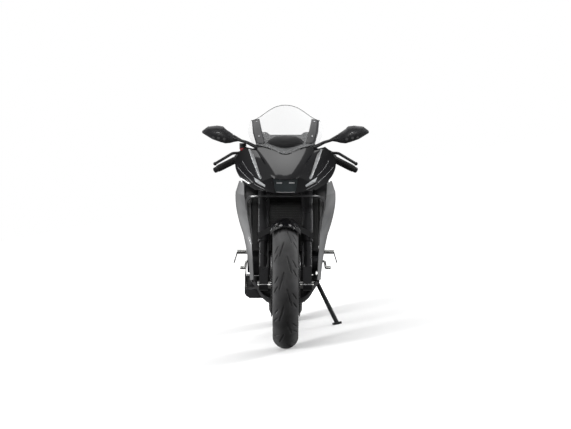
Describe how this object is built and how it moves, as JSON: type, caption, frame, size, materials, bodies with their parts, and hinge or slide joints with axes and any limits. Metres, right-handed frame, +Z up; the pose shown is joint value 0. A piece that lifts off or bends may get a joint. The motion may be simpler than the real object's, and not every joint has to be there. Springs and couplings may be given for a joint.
{
  "type": "sport bike",
  "caption": "Fully faired sport motorcycle parked on its side stand, with steering, free-turning wheels and a folding stand.",
  "frame": {"origin": "middle of the parked machine's outline on the floor that it stands on", "axes": "+Z up, +Y from the front wheel to the rear wheel, +X to the left side on which the stand is, as seen by the rider"},
  "size_m": [0.7864, 2.0617, 1.1386],
  "materials": {
    "gloss_black": "gloss paint over moulded panels",
    "panel_grey": "satin dark grey paint",
    "tank_grey": "satin dark grey paint on pressed steel",
    "frame_black": "black powder coat",
    "engine_dark": "dark coated castings",
    "cover_dark": "dark coated cover",
    "alloy_black": "black coated alloy",
    "fork_black": "dark anodised alloy",
    "caliper_black": "black coated castings",
    "silencer_metal": "brushed stainless steel",
    "shield_bright": "brushed alloy plate",
    "radiator_black": "black core and side tanks",
    "steel_parts": "machined and plated steel",
    "chain_steel": "oiled steel",
    "stand_black": "black painted steel",
    "tyre_rubber": "matt tread rubber",
    "grip_rubber": "ribbed rubber",
    "black_plastic": "grained black plastic",
    "seat_cover": "grained seat cover over foam",
    "cap_metal": "dark coated lid",
    "clear_screen": "clear polycarbonate",
    "lamp_glass": "clear lens over bright reflector",
    "red_glass": "red lens",
    "mirror_glass": "silvered glass"
  },
  "bodies": {
    "chassis": {"belly_pan": "panel_grey", "drive_chain": "chain_steel", "engine": "engine_dark", "exhaust_pipes": "silencer_metal", "fairing_stay": "frame_black", "filler_cap": "cap_metal", "front_sprocket": "chain_steel", "fuel_tank": "tank_grey", "headlamp": "lamp_glass", "inner_cowl": "gloss_black", "instrument_panel": "black_plastic", "left_fairing": "panel_grey", "main_frame": "frame_black", "mirror_glasses": "mirror_glass", "mirrors": "black_plastic", "nose_cowl": "gloss_black", "passenger_footrests": "alloy_black", "passenger_seat": "seat_cover", "pivot_bolt_and_axle": "steel_parts", "plate_carrier": "black_plastic", "position_lamps": "lamp_glass", "radiator": "radiator_black", "rear_indicators": "black_plastic", "rear_shock": "steel_parts", "rider_footrests": "alloy_black", "rider_seat": "seat_cover", "right_fairing": "panel_grey", "silencer": "silencer_metal", "silencer_shield": "shield_bright", "sprocket_cover": "cover_dark", "swingarm": "alloy_black", "tail_cowl": "gloss_black", "tail_lamp": "red_glass", "windscreen": "clear_screen"},
    "steering": {"fork_upper_tubes": "fork_black", "fork_lower_legs": "fork_black", "top_yoke": "alloy_black", "bottom_yoke": "alloy_black", "handlebars": "alloy_black", "grips": "grip_rubber", "hand_controls": "black_plastic", "front_mudguard": "black_plastic", "front_axle": "steel_parts", "front_calipers": "caliper_black"},
    "front_wheel": {"front_tyre": "tyre_rubber", "front_rim": "alloy_black", "front_discs": "steel_parts"},
    "rear_wheel": {"rear_tyre": "tyre_rubber", "rear_rim": "alloy_black", "rear_disc": "steel_parts", "rear_sprocket": "chain_steel"},
    "side_stand": {"side_stand": "stand_black"}
  },
  "joints": [
    {"name": "steering", "type": "hinge", "parent": "chassis", "child": "steering", "pos_m": [-0.03315, -0.44711, 0.83789], "axis": [0.1747, 0.4016, 0.899], "range_deg": [-31, 31]},
    {"name": "front_wheel_spin", "type": "hinge", "parent": "steering", "child": "front_wheel", "pos_m": [-0.13855, -0.73101, 0.29553], "axis": [0.9816, 0.0001, -0.1908], "continuous": true},
    {"name": "rear_wheel_spin", "type": "hinge", "parent": "chassis", "child": "rear_wheel", "pos_m": [-0.13568, 0.66399, 0.31086], "axis": [0.9816, 0.0001, -0.1908], "continuous": true},
    {"name": "side_stand_fold", "type": "hinge", "parent": "chassis", "child": "side_stand", "pos_m": [0.0049, 0.05902, 0.24772], "axis": [0.9528, -0.0734, 0.2945], "range_deg": [0, 105.4]}
  ]
}
